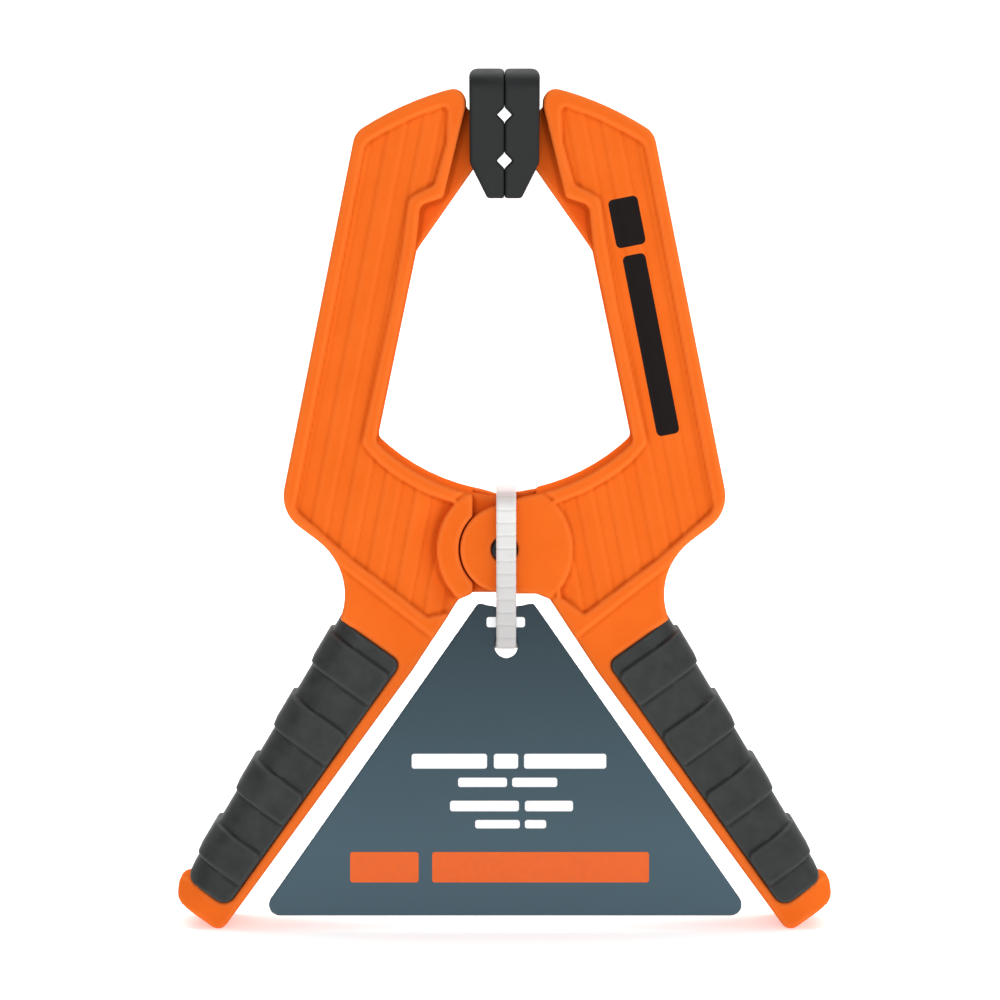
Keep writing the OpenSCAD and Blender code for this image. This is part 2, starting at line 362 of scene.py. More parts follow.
# The moat lies in the panel beside the boss, and the groove follows the boss beyond the panel
MOAT_GAP = 0.6
MOAT_WIDTH = 3.6
MOAT_FADE = 25
GROOVE_GAP = 0.45
GROOVE_WIDTH = 0.5
GROOVE_DEPTH = 0.5
# The moat's middle angle, its half spread and its depth on each face
FRONT_MOAT = (-52, 40, 0.6)
BACK_MOAT = (2, 62, 1.7)
# The rim's rounding, and how much sharper it is along the crotch
RIM_ROUND = 0.9
CRISPER = 0.45
# The root's inner side above the handle: where it is at its top, and how it leans
ROOT_INNER = 1.69
ROOT_LEAN = 0.0425
ROOT_TOP = 18.64
CUP_LIP = 1.1
CUP_ROUND = 9.0
CUP_START = 97
# The front layer's top edge: its height at the pivot, its slope, the scale that turns its height
# into a distance, and where it ends
DIP_Z = 10.8
DIP_SLOPE = 0.3375
DIP_SCALE = 0.947
DIP_END = 8.2
# The pocket between the ears, which clears the other arm
POCKET_R = 24
POCKET_X = 3.2
POCKET_HALF = 4.3
CHANNEL_HALF = 1.55
CHANNEL_END = 52
WINDOW_STARTS = (58, 73, 88)
WINDOW_HALF = 6


def face_height(xs, zs, outline, moat_shape):
    """How far a face of the arm stands from the middle, over the front view."""
    moat_angle, moat_spread, moat_depth = moat_shape
    px, pz = np.meshgrid(xs, zs, indexing="ij")
    from_pivot = np.hypot(px, pz)
    panel = np.maximum(outline_field(outline, xs, zs), BOSS_R - from_pivot)
    root = outline_field(ROOT_SIDE, xs, zs)
    # Planks run along the arm's straight outer side, every second one a little higher
    side = unit(np.array([SIDE_HIGH[0] - SIDE_LOW[0], SIDE_HIGH[1] - SIDE_LOW[1]]))
    across = (SIDE_LOW[0] - px) * side[1] + (pz - SIDE_LOW[1]) * side[0]
    wave = across / PLANK_WIDTH % 2
    ramp = PLANK_RAMP / PLANK_WIDTH
    planks = step(wave / ramp) - step((wave - 1) / ramp)
    # A scooped moat and a thin groove along the outer side of the round boss
    angle = np.degrees(np.arctan2(pz, px))
    fade = step((moat_spread - np.abs(angle - moat_angle)) / MOAT_FADE)
    moat = moat_depth * np.exp(-((from_pivot - BOSS_R - MOAT_GAP) / MOAT_WIDTH) ** 2) * fade
    from_groove = (from_pivot - BOSS_R - GROOVE_GAP) / GROOVE_WIDTH
    groove = GROOVE_DEPTH * np.exp(-from_groove ** 2) * (px > 0)
    height = np.full(px.shape, HALF)
    height -= (PANEL_RECESS - PLANK_STEP * planks + moat) * step(-panel / 0.7)
    height -= groove * step(panel / 0.7)
    height -= ROOT_RECESS * step(-root / 0.9)
    return height


def arm_skin():
    """The right arm's moulding: body, jaw web, handle core, end cup and hub ears."""
    xs = np.arange(-11.6, 78.4, ARM_STEP)
    zs = np.arange(-91.6, 110, ARM_STEP)
    edge = np.arange(HALF - EDGE_DEPTH, HALF + 0.9, EDGE_STEP)
    inner = np.linspace(-(HALF - EDGE_DEPTH), HALF - EDGE_DEPTH, 26)[1:-1]
    ys = np.concatenate([-edge[::-1], inner, edge])
    px, pz = np.meshgrid(xs, zs, indexing="ij")
    flat = lambda f: f[:, None, :]
    y = ys[None, :, None]
    depth = np.abs(y)

    c, s = math.cos(HANDLE_ANGLE), math.sin(HANDLE_ANGLE)
    across, along = px * c + pz * s, px * s - pz * c

    turn = lambda points: np.array([handle_point(p[0], -p[1]) for p in points])
    handle = rounded([
        (handle_inner(28), -28), (INNER_OFFSET, -HANDLE_LENGTH, 2.5), (14.7, -HANDLE_LENGTH, 3.4),
        (17.0, -109.1, 1.4), (16.2, -107.9, 0.4), (15.2, -107.2), (FLANGE_OUTER, -101.5),
        (FLANGE_OUTER, -28)])
    grip_foot = rounded([
        (FLANGE_OUTER, -60), (grip_outer(60), -60),
        (grip_outer(GRIP_END), -GRIP_END, 2.2), (FLANGE_OUTER, -GRIP_END, 2.8)])
    grip_field = outline_field(turn(grip_foot), xs, zs) - 0.06
    handle = carve(outline_field(turn(handle), xs, zs), grip_field, 0.2)
    whole = join(outline_field(ARM_OUTLINE, xs, zs), handle, 2.2)
    root_inner = ROOT_INNER - ROOT_LEAN * (along - ROOT_TOP)
    inner_edge = np.maximum(handle_inner(along), root_inner)
    inner_side = np.where(along > 20, inner_edge - across, -np.inf)
    whole = np.maximum(whole, inner_side)
    front = face_height(xs, zs, FRONT_PANEL, FRONT_MOAT)
    back = face_height(xs, zs, BACK_PANEL, BACK_MOAT)
    faces = np.where(y < 0, depth - flat(front), depth - flat(back))
    # The rim is crisp along the crotch and softer elsewhere
    from_crotch = np.hypot(px - CROTCH_CENTRE[0], pz - CROTCH_CENTRE[1]) - CROTCH_R
    rim = RIM_ROUND - CRISPER * step((3.5 - np.abs(from_crotch)) / 1.5) * step((32 - pz) / 4)
    body = meet(flat(whole), faces, flat(rim))
    cup_outer = flat(across - grip_outer(along) - CUP_LIP)
    cup_side = meet(cup_outer, depth - HALF + ROOT_RECESS, CUP_ROUND)
    body = np.maximum(body, np.where(flat(along) > CUP_START, cup_side, -np.inf))
    tongue = np.minimum(outline_field(WEB, xs, zs), np.hypot(px - PAD_X, pz - PAD_Z) - 2.6)
    body = join(body, meet(flat(tongue), depth - 5, 0.6), 0.5)

    core_outer = grip_outer(along) - 2.8
    core = np.maximum(np.maximum(across - core_outer, 3.6 - across),
                      np.maximum(30 - along, along - GRIP_END - 0.8))
    core = meet(flat(core), depth - CORE_HALF, 0.8)
    body = join(body, core, 0.15)

    from_pivot = np.hypot(px, pz)
    pocket = np.minimum(from_pivot - EAR_R - 0.4, np.abs(px - POCKET_X) - POCKET_HALF)
    pocket = flat(np.maximum(pocket, from_pivot - POCKET_R))
    gap_middle = (INNER_EAR[0] - HALF + EAR_THICK) / 2
    middle_gap = np.abs(y - gap_middle) - (HALF - EAR_THICK + INNER_EAR[0]) / 2
    back_gap = INNER_EAR[1] - y
    body = carve(body, np.maximum(pocket, middle_gap), 0.3)
    body = carve(body, np.maximum(pocket, back_gap), 0.45)
    # The front layer dips towards the middle of the crotch
    dip = flat(np.maximum((DIP_Z + DIP_SLOPE * px - pz) * DIP_SCALE, px - DIP_END))
    body = carve(body, np.maximum(dip, y + HALF - EAR_THICK), 0.3)
    ear = flat(from_pivot - EAR_R)
    front_ear = meet(ear, np.abs(y + HALF - EAR_THICK / 2) - EAR_THICK / 2, 0.5)
    inner_ear_half = (INNER_EAR[1] - INNER_EAR[0]) / 2
    back_ear = meet(ear, np.abs(y - sum(INNER_EAR) / 2) - inner_ear_half, 0.3)
    body = np.minimum(body, np.minimum(front_ear, back_ear))

    # The spring's leg lies in a channel, and windows lighten the handle below it
    channel_side = np.maximum(across - 9.25, np.maximum(2 - along, along - CHANNEL_END))
    channel = np.maximum(np.abs(y + COIL_HALF) - CHANNEL_HALF, flat(channel_side))
    body = carve(body, channel, 0.25)
    for start in WINDOW_STARTS:
        window = flat(np.maximum(across - 7.8, np.abs(along - start - WINDOW_HALF) - WINDOW_HALF))
        body = carve(body, meet(window, np.abs(y) - 7.5, 1.0), 0.3)
    body = carve(body, flat(from_pivot - PIN_R - PIN_GAP), 0.3)
    body = carve(body, flat(np.hypot(px - PAD_X, pz - PAD_Z) - CROSS_PIN_R - 0.05), 0.1)
    return skin((xs, ys, zs), body)


def build_arms(right_material, left_material):
    points, faces = arm_skin()
    twins = (("right", points, right_material), ("left", half_turn(points), left_material))
    for side, shape, material in twins:
        piece = mesh_object(side + "_arm_moulding", shape, faces)
        add_edges(piece, shape, faces)
        smooth_out(piece)
        place(piece, side + "_arm", material, "arm_nylon", side + "_arm_body")


# ---------- grips ----------

GRIP_STEP = 0.35
FIRST_BAND = 39.8
BAND_PITCH = 17.5
BAND_STARTS = [FIRST_BAND + BAND_PITCH * i for i in range(4)]
BAND_LENGTH = 8.75
BAND_HEIGHT = 0.8
GRIP_ROUND = 7.0


def grip_skin():
    """The right grip, worked out across and down the handle, then turned into place."""
    vs = np.arange(2.9, 24.2, GRIP_STEP)
    us = np.arange(34.6, 109.2, GRIP_STEP)
    ys = np.arange(-HALF - 2, HALF + 2.01, 0.4)
    v, u = np.meshgrid(vs, us, indexing="ij")
    flat = lambda f: f[:, None, :]
    depth = np.abs(ys)[None, :, None]
    outer = flat(v - grip_outer(u))
    base = rounded([(FLANGE_OUTER + 0.04, GRIP_START, 2.2), (30, GRIP_START, 1),
                    (30, GRIP_END, 1), (FLANGE_OUTER + 0.04, GRIP_END, 2.8)])
    body = meet(flat(outline_field(base, vs, us)), depth - HALF, 0.6)
    end_round = rounded([(-20, 0), (grip_outer(0), 0), (grip_outer(GRIP_END), GRIP_END, 2.2),
                         (-20, GRIP_END)])
    body = np.maximum(body, meet(flat(outline_field(end_round, vs, us)), depth - HALF, 0.6))
    body = np.maximum(body, meet(outer, depth - HALF, GRIP_ROUND))
    for start in BAND_STARTS:
        pad = rounded([(FLANGE_OUTER + 0.4, start, 1.6), (30, start, 1),
                       (30, start + BAND_LENGTH, 1), (FLANGE_OUTER + 0.4, start + BAND_LENGTH, 0.8)])
        band = meet(flat(outline_field(pad, vs, us)), depth - HALF - BAND_HEIGHT, 0.5)
        band = meet(band, meet(outer - BAND_HEIGHT, depth - HALF - BAND_HEIGHT, GRIP_ROUND), 0.5)
        body = join(body, band, 0.35)
    core = flat(np.maximum(v - grip_outer(u) + 2.75, u - GRIP_END - 2))
    body = carve(body, np.maximum(core, depth - CORE_HALF - 0.05), 0.1)
    points, faces = skin((vs, ys, us), body)
    c, s = math.cos(HANDLE_ANGLE), math.sin(HANDLE_ANGLE)
    v, y, u = points.T
    return np.stack([v * c + u * s, y, v * s - u * c], axis=1), faces[:, ::-1]


def build_grips(material):
    points, faces = grip_skin()
    for side, shape in (("right", points), ("left", half_turn(points))):
        piece = mesh_object(side + "_rubber_grip", shape, faces)
        add_edges(piece, shape, faces)
        smooth_out(piece)
        place(piece, side + "_arm", material, "grip_rubber", side + "_grip")


# ---------- jaw pads ----------

PAD_STEP = 0.28
PAD_FACE = 0.01
GROOVE_REACH = 1.8
GROOVES = (91, 101.8)


def pad_skin():
    """The right jaw pad, with two grooves across its face and a slot for the arm's web."""
    xs = np.arange(-0.6, 9.2, PAD_STEP)
    ys = np.linspace(-PAD_HALF - 0.9, PAD_HALF + 0.9, 75)
    zs = np.arange(PAD_BOTTOM - 0.9, PAD_TOP + 0.9, PAD_STEP)
    flat = lambda f: f[:, None, :]
    groove = lambda z: [(PAD_FACE, z - GROOVE_REACH + PAD_FACE), (GROOVE_REACH, z),
                        (PAD_FACE, z + GROOVE_REACH - PAD_FACE)]
    front = rounded([(PAD_FACE, PAD_BOTTOM, 0.7)] + groove(GROOVES[0]) + groove(GROOVES[1])
                    + [(PAD_FACE, PAD_TOP, 1.2), (8.3, PAD_TOP, 2.2), (8.1, 90.4, 2), (3.9, PAD_BOTTOM, 1)])
    side = rounded([(-PAD_HALF, PAD_BOTTOM, 1.2), (PAD_HALF, PAD_BOTTOM, 1.2),
                    (PAD_HALF, PAD_TOP, 6), (-PAD_HALF, PAD_TOP, 6)])
    body = meet(flat(outline_field(front, xs, zs)), outline_field(side, ys, zs)[None], 0.55)
    px, pz = np.meshgrid(xs, zs, indexing="ij")
    slot = rounded([(2.3, PAD_Z), (3.2, 88), (3.2, 78), (14, 78), (14, 104.6), (3.8, 104.6)])
    slot = np.minimum(outline_field(slot, xs, zs), np.hypot(px - PAD_X, pz - PAD_Z) - 2.9)
    depth = np.abs(ys)[None, :, None]
    body = carve(body, np.maximum(flat(slot), depth - 5.4), 0.3)
    hole = flat(np.hypot(px - PAD_X, pz - PAD_Z) - CROSS_PIN_R - PIN_GAP)
    return skin((xs, ys, zs), carve(body, np.maximum(hole, depth - 11.8), 0.1))


def build_pads(material):
    points, faces = pad_skin()
    for side, shape in (("right", points), ("left", half_turn(points))):
        piece = mesh_object(side + "_pad_moulding", shape, faces)
        add_edges(piece, shape, faces)
        smooth_out(piece)
        place(piece, side + "_pad", material, "pad_plastic", side + "_jaw_pad")


# ---------- turned parts ----------

def turned(name, profile, x=0.0, z=0.0, sides=72):
    """A ring or pin turned about an axis along Y, from a closed profile of (radius, y)."""
    profile = np.array(profile)
    angles = np.arange(sides) * 2 * math.pi / sides
    radius, y = profile.T
    rings = [np.stack([x + radius * math.cos(t), y, z + radius * math.sin(t)], axis=1)
             for t in angles]
    n = len(profile)
    pairs = [(i * n, (i + 1) % sides * n) for i in range(sides)]
    faces = [(a + k, a + (k + 1) % n, b + (k + 1) % n, b + k) for a, b in pairs for k in range(n)]
    return mesh_object(name, np.concatenate(rings), np.array(faces))


def build_pivot(dark_steel, steel, nylon):
    """The rivet pin with its washer and spool, and the cross pins of the pads."""
    tiny = 0.02
    back = reach("pivot_pin", 1)
    head_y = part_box("pin_washer")[1][1] / MM
    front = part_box("pivot_pin")[0][1] / MM
    head_r = 4.6
    washer_r = 5.6
    spool_r = 5.2
    pin = rounded([(tiny, front), (PIN_R, front, 0.7), (PIN_R, head_y), (head_r, head_y, 0.25),
                   (head_r, back, 0.9), (tiny, back)])
    place(turned("pivot_rivet", pin), "pivot", dark_steel, "dark_steel", "pivot_pin")
    washer = rounded([(PIN_R, HALF + 0.05), (washer_r, HALF + 0.05, 0.15),
                      (washer_r, head_y, 0.3), (PIN_R, head_y)])
    place(turned("rivet_washer", washer), "pivot", steel, "pin_steel", "pin_washer")
    spool_half = reach("spring_spool", 1)
    spool = rounded([(PIN_R, -spool_half), (spool_r, -spool_half, 0.3),
                     (spool_r, spool_half, 0.3), (PIN_R, spool_half)])
    place(turned("spool_sleeve", spool), "pivot", nylon, "spool_nylon", "spring_spool")
    end = reach("left_pad_pin", 1)
    cross_pin = rounded([(tiny, -end), (CROSS_PIN_R, -end, 0.4), (CROSS_PIN_R, end, 0.4),
                         (tiny, end)])
    for side, x in (("left", -PAD_X), ("right", PAD_X)):
        piece = turned(side + "_cross_pin", cross_pin, x, PAD_Z, 32)
        place(piece, side + "_arm", steel, "pin_steel", side + "_pad_pin")


# ---------- torsion spring ----------

WIRE_R = 1.4
COIL_R = 7.8
COIL_HALF = 3.28
LEG_START = 1.5
LEG_LENGTH = 50.0


def swept(name, path, radius, sides=20):
    """A round wire along a path, with domed ends."""
    path = np.array(path)
    ahead = np.gradient(path, axis=0)
    ahead /= np.linalg.norm(ahead, axis=1)[:, None]
    side = np.cross([0, 1, 0], ahead)
    side /= np.linalg.norm(side, axis=1)[:, None]
    up = np.cross(ahead, side)
    dome = [(-1.0, 0.05), (-0.8, 0.6), (-0.3, 0.95)]
    rings = [(path[0] + ahead[0] * radius * d * 0.5, side[0], up[0], radius * f) for d, f in dome]
    rings += [(p, s, u, radius) for p, s, u in zip(path, side, up)]
    rings += [(path[-1] - ahead[-1] * radius * d * 0.5, side[-1], up[-1], radius * f)
              for d, f in reversed(dome)]
    angles = np.arange(sides) * 2 * math.pi / sides
    points = np.concatenate([p + r * (np.cos(angles)[:, None] * s + np.sin(angles)[:, None] * u)
                             for p, s, u, r in rings])
    starts = [i * sides for i in range(len(rings) - 1)]
    steps = [(k, (k + 1) % sides) for k in range(sides)]
    faces = [(a + k, a + m, a + sides + m, a + sides + k) for a in starts for k, m in steps]
    return mesh_object(name, points, np.array(faces))


def build_spring(material):
    """Two wires that meet in the coil, with one leg along each arm."""
    turn = 2 * 360 + 180 - 2 * math.degrees(HANDLE_ANGLE)
    start = 180 - math.degrees(HANDLE_ANGLE)
    split = start + 270
    at = lambda t: (COIL_R * math.cos(math.radians(start - t)), COIL_HALF * (1 - 2 * t / turn),
                    COIL_R * math.sin(math.radians(start - t)))
    leg = lambda along, sign: (sign * handle_point(COIL_R, along)[0], -sign * COIL_HALF,
                               handle_point(COIL_R, along)[1])
    legs = np.linspace(LEG_LENGTH, LEG_START, 20)
    first = [leg(a, -1) for a in legs] + [at(t) for t in np.linspace(0, split, 90)]
    second = [at(t) for t in np.linspace(split, turn, 60)] + [leg(a, 1) for a in legs[::-1]]
    for side, sign, path in (("left", -1, first), ("right", 1, second)):
        piece = swept("spring_wire_" + side, path, WIRE_R)
        piece.data.materials.append(material)
        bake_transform(piece)
        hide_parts("torsion_spring")


# ---------- cable tie and tag ----------

TIE_WIDTH = 4.8
TIE_THICK = 1.3
TIE_BOTTOM = -23.3
TIE_STEP = 0.22
HOLE_Z = -22.65
HOLE_R = 2.67
TAG_STEP = 0.5
RIB_PITCH = 3.0
RIB_SHIFT = 100
RIB_DEPTH = 0.2
RIB_HALF = 0.4


def build_tie(material):
    """The ribbed strap round the hub, with its head and cut tail behind the tag."""
    xs = np.arange(-4.4, 4.41, TIE_STEP)
    ys = np.arange(-TIE_HALF - 0.6, TIE_HALF + 0.61, TIE_STEP)
    zs = np.arange(TIE_BOTTOM - 3.6, TIE_TOP + 0.7, TIE_STEP)
    x = xs[:, None, None]
    inner = TIE_HALF - TIE_THICK
    py, pz = np.meshgrid(ys, zs, indexing="ij")
    outside = rounded([(-TIE_HALF, TIE_BOTTOM, 1.7), (TIE_HALF, TIE_BOTTOM, 1.7),
                       (TIE_HALF, TIE_TOP, 4.3), (-TIE_HALF, TIE_TOP, 4.3)])
    inside = rounded([(-inner, TIE_BOTTOM + TIE_THICK, 0.4), (inner, TIE_BOTTOM + TIE_THICK, 0.4),
                      (inner, TIE_TOP - TIE_THICK, 3), (-inner, TIE_TOP - TIE_THICK, 3)])
    outer_field = outline_field(outside, ys, zs)
    # Shallow cross ribs along the strap's outer face
    rib = np.abs((pz + RIB_SHIFT) % RIB_PITCH - RIB_PITCH / 2)
    on_strap = (np.abs(py) > TIE_HALF - 3) * (pz < TIE_TOP - 4)
    outer_field += RIB_DEPTH * step(1 - rib / RIB_HALF) * on_strap
    loop = np.maximum(outer_field, -outline_field(inside, ys, zs))
    body = meet(loop[None], np.abs(x) - TIE_WIDTH / 2, 0.8)
    head = rounded([(-3.5, TIE_BOTTOM - 1.0, 0.8), (3.5, TIE_BOTTOM - 1.0, 0.8),
                    (3.5, TIE_BOTTOM + 3.4, 0.6), (-3.5, TIE_BOTTOM + 3.4, 0.6)])
    head = meet(outline_field(head, ys, zs)[None], np.abs(x) - 3.7, 0.6)
    tail = rounded([(0, TIE_BOTTOM + 1.5), (11, TIE_BOTTOM + 1.5, 0.3), (11, TIE_BOTTOM + 2.8, 0.3),
                    (0, TIE_BOTTOM + 2.8)])
    tail = meet(outline_field(tail, ys, zs)[None], np.abs(x) - TIE_WIDTH / 2, 0.4)
    points, faces = skin((xs, ys, zs), join(join(body, head, 0.4), tail, 0.2))
    points += np.array([TIE_X, 0, 0])
    place(mesh_object("tie_strap", points, faces), "pivot", material, "tie_nylon", "cable_tie")


def build_tag(material):
    """The flat card with a dipped top edge and a punched hole."""
    outline = rounded([(-6.2, -12.4, 1), (0, -13.7), (6.8, -12.4, 1),
                       (58.3, -86.3, 2.6), (-57.9, -86.3, 2.6)])
    xs = np.arange(-57.5, 58.2, TAG_STEP)
    zs = np.arange(-87.2, -12, TAG_STEP)
    ys = TAG_Y + np.linspace(-0.45, 0.45, 7)
    px, pz = np.meshgrid(xs, zs, indexing="ij")
    card = np.maximum(outline_field(outline, xs, zs), HOLE_R - np.hypot(px - TIE_X, pz - HOLE_Z))
    body = meet(card[:, None, :], np.abs(ys - TAG_Y)[None, :, None] - CARD_HALF, 0.08)
    place(mesh_object("tag_card", *skin((xs, ys, zs), body)), "tag", material, "tag_card", "hang_tag")


PRINT_LIFT = 0.03
# Each row of the print: its height, its half height, and where its bars start and end
WHITE_ROWS = [
    (-16.9, 1.2, [(-4.2, 4.8)]),
    (-49.7, 1.75, [(-21.8, -4.1), (-2.5, 3.2), (4.6, 23.9)]),
    (-54.7, 1.1, [(-10.9, 0.6), (1.8, 12.4)]),
    (-60.3, 1.25, [(-12.8, 3.4), (4.8, 16.1)]),
    (-64.6, 1.0, [(-6.9, 3.6), (4.8, 9.8)])]
ORANGE_ROWS = [(-74.8, 3.6, [(-36.3, -20.2), (-17.0, 34.0)])]


def print_bars(name, rows, material):
    """Bars of ink that stand just proud of the card's front."""
    points, faces = [], []
    front = TAG_Y - CARD_HALF - PRINT_LIFT
    for z, half, bars in rows:
        for start, end in bars:
            outline = rounded([(start, z - half, 0.6), (end, z - half, 0.6), (end, z + half, 0.6),
                               (start, z + half, 0.6)])
            first, n = len(points), len(outline)
            points += [(x, front, height) for x, height in outline]
            points += [(x, front + 2 * PRINT_LIFT, height) for x, height in outline]
            faces.append(list(range(first, first + n)))
            faces.append(list(range(first + 2 * n - 1, first + n - 1, -1)))
            faces += [(first + k, first + n + k, first + n + (k + 1) % n, first + (k + 1) % n)
                      for k in range(n)]
    mesh = bpy.data.meshes.new(name)
    mesh.from_pydata([(x * MM, y * MM, (z + PIVOT_Z) * MM) for x, y, z in points], [], faces)
    piece = bpy.data.objects.new(name, mesh)
    bpy.context.scene.collection.objects.link(piece)
    piece.data.materials.append(material)
    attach(piece, "tag")


# Plain bars on the right arm: x, z, lean, length, width and corner radius
ARM_PRINT = [(28.6, 76.7, -PLANK_LEAN, 11.5, 7.0, 1.2), (34.3, 48.0, -PLANK_LEAN, 43.0, 5.4, 1.2)]


# ---------- materials ----------

def srgb(r, g, b):
    """A colour given on the 0 to 255 scale, as linear light."""
    lin = lambda c: c / 12.92 if c <= 0.04045 else ((c + 0.055) / 1.055) ** 2.4
    return (lin(r / 255), lin(g / 255), lin(b / 255), 1)


class Shader:
    """A small helper that adds nodes to one material."""

    def __init__(self, name, roughness, **sockets):
        self.material = bpy.data.materials.new(name)
        self.material.use_nodes = True
        self.tree = self.material.node_tree
        self.surface = self.tree.nodes["Principled BSDF"]
        self.surface.inputs["Roughness"].default_value = roughness
        for socket, value in sockets.items():
            self.surface.inputs[socket.replace("_", " ")].default_value = value
        self.place = self.node("ShaderNodeTexCoord").outputs["Object"]

    def node(self, kind, **settings):
        node = self.tree.nodes.new(kind)
        for key, value in settings.items():
            setattr(node, key, value)
        return node

    def link(self, source, target):
        self.tree.links.new(source, target)

    def noise(self, scale, detail=3.0):
        """Noise at a scale in cells per metre."""
        node = self.node("ShaderNodeTexNoise")
        node.inputs["Scale"].default_value = scale
        node.inputs["Detail"].default_value = detail
        self.link(self.place, node.inputs["Vector"])
        return node.outputs["Fac"]

    def spread(self, value, low, high, start=0.3, end=0.7):
        """Maps a value from start..end to low..high."""
        node = self.node("ShaderNodeMapRange")
        for socket, number in (("From Min", start), ("From Max", end), ("To Min", low), ("To Max", high)):
            node.inputs[socket].default_value = number
        self.link(value, node.inputs["Value"])
        return node.outputs["Result"]

    def math(self, operation, a, b=0.0):
        node = self.node("ShaderNodeMath", operation=operation)
        for socket, value in zip(node.inputs, (a, b)):
            if isinstance(value, (int, float)):
                socket.default_value = value
            else:
                self.link(value, socket)
        return node.outputs[0]

    def mix(self, factor, a, b):
        node = self.node("ShaderNodeMix", data_type="RGBA")
        for socket, value in ((node.inputs[0], factor), (node.inputs[6], a), (node.inputs[7], b)):
            if isinstance(value, (int, float, tuple)):
                socket.default_value = value
            else:
                self.link(value, socket)
        return node.outputs[2]

    def edges(self, colour, crease_shade, edge_highlight, sharp=0.06):
        """Paints shade into a colour in the mesh's creases and paints highlights along its edges."""
        edge = self.node("ShaderNodeAttribute", attribute_name="edge").outputs["Fac"]
        shade_amount = self.spread(edge, 1, 0, -sharp, 0)
        colour = self.mix(shade_amount, colour, crease_shade)
        highlight_amount = self.spread(edge, 0, 1, 0.01, sharp + 0.02)
        return self.mix(highlight_amount, colour, edge_highlight)

    def bar_mask(self, x, z, lean, long, wide, radius):
        """1 inside a rounded bar on the front face, given in millimetres from the pivot."""
        mapping = self.node("ShaderNodeMapping", vector_type="TEXTURE")
        mapping.inputs["Location"].default_value = (x * MM, 0, (z + PIVOT_Z) * MM)
        mapping.inputs["Rotation"].default_value = (0, lean, 0)
        self.link(self.place, mapping.inputs["Vector"])
        split = self.node("ShaderNodeSeparateXYZ")
        self.link(mapping.outputs["Vector"], split.inputs["Vector"])
        sides = []
        for output, half in (("X", wide / 2), ("Z", long / 2)):
            off = self.math("ABSOLUTE", split.outputs[output])
            beyond = self.math("SUBTRACT", off, (half - radius) * MM)
            beyond = self.math("MAXIMUM", beyond, 0.0)
            sides.append(self.math("MULTIPLY", beyond, beyond))
        distance = self.math("SQRT", self.math("ADD", *sides))
        inside = self.math("LESS_THAN", distance, radius * MM)
        front = self.math("LESS_THAN", split.outputs["Y"], -CORE_HALF * MM)
        return self.math("MULTIPLY", inside, front)

    def set(self, socket, value):
        self.link(value, self.surface.inputs[socket])

    def bump(self, height, strength, distance):
        node = self.node("ShaderNodeBump")
        node.inputs["Strength"].default_value = strength
        node.inputs["Distance"].default_value = distance
        self.link(height, node.inputs["Height"])
        self.set("Normal", node.outputs["Normal"])


def nylon_material(name, prints=()):
    """Orange glass-filled nylon: a fine spark-eroded texture, with painted highlights along the edges and
    painted shade in the creases.
    """
    shader = Shader(name, 0.7, Specular_IOR_Level=0.0)
    grain = shader.noise(5200, 2.0)
    cloud = shader.noise(90, 3.0)
    base = shader.mix(shader.spread(cloud, 0, 1), srgb(229, 102, 31), srgb(234, 107, 36))
    # Painted shade in the creases and painted highlights along the edges
    base = shader.edges(base, srgb(204, 85, 23), srgb(236, 114, 46), 0.075)
    for bar in prints:
        base = shader.mix(shader.bar_mask(*bar), base, srgb(34, 30, 30))
    shader.set("Base Color", base)
    shader.set("Roughness", shader.spread(cloud, 0.66, 0.76))
    shader.bump(grain, 0.25, 0.00004)
    return shader.material


def ink_material(name, colour):
    """Printing ink, a little uneven."""
    shader = Shader(name, 0.5, Specular_IOR_Level=0.3)
    cloud = shader.noise(700, 3.0)
    thin = tuple(c * 0.94 for c in colour[:3]) + (1,)
    shader.set("Base Color", shader.mix(shader.spread(cloud, 0, 1), thin, colour))
    shader.set("Roughness", shader.spread(cloud, 0.44, 0.56))
    return shader.material


def rubber_material():
    """Black thermoplastic rubber with a dull, slightly mottled skin."""
    shader = Shader("grip_rubber", 0.62, Specular_IOR_Level=0.3)
    cloud = shader.noise(260, 4.0)
    base = shader.mix(shader.spread(cloud, 0, 1), srgb(33, 37, 36), srgb(50, 54, 53))
    # Painted shade in the creases and painted highlights along the edges
    shader.set("Base Color", shader.edges(base, srgb(21, 24, 24), srgb(54, 59, 58), 0.08))
    shader.set("Roughness", shader.spread(cloud, 0.55, 0.72))
    shader.bump(shader.noise(3600, 3.0), 0.4, 0.00006)
    return shader.material


def pad_material():
    """Dark grey soft plastic of the jaw pads."""
    shader = Shader("pad_plastic", 0.48, Specular_IOR_Level=0.25)
    cloud = shader.noise(180, 3.0)
    base = shader.mix(shader.spread(cloud, 0, 1), srgb(24, 28, 28), srgb(30, 34, 34))
    # Painted shade in the creases and painted highlights along the edges
    shader.set("Base Color", shader.edges(base, srgb(12, 14, 14), srgb(22, 26, 25), 0.08))
    shader.set("Roughness", shader.spread(cloud, 0.42, 0.55))
    shader.bump(shader.noise(4200, 2.0), 0.25, 0.00004)
    return shader.material


def metal_material(name, colour, roughness):
    """Steel with a fine mottled finish."""
    shader = Shader(name, roughness, Metallic=1.0)
    marks = shader.noise(900, 4.0)
    darker = tuple(c * 0.7 for c in colour[:3]) + (1,)
    shader.set("Base Color", shader.mix(shader.spread(marks, 0, 1), darker, colour))
    shader.set("Roughness", shader.spread(marks, roughness - 0.08, roughness + 0.1))
    shader.bump(marks, 0.2, 0.00003)
    return shader.material


def plain_nylon(name, colour, roughness, glow):
    """Natural or white nylon, a little translucent."""
    shader = Shader(name, roughness, Subsurface_Weight=glow, Subsurface_Scale=0.001)
    cloud = shader.noise(240, 3.0)
    darker = tuple(c * 0.93 for c in colour[:3]) + (1,)
    shader.set("Base Color", shader.mix(shader.spread(cloud, 0, 1), darker, colour))
    shader.set("Roughness", shader.spread(cloud, roughness - 0.06, roughness + 0.08))
    shader.bump(shader.noise(2600, 2.0), 0.15, 0.00003)
    return shader.material


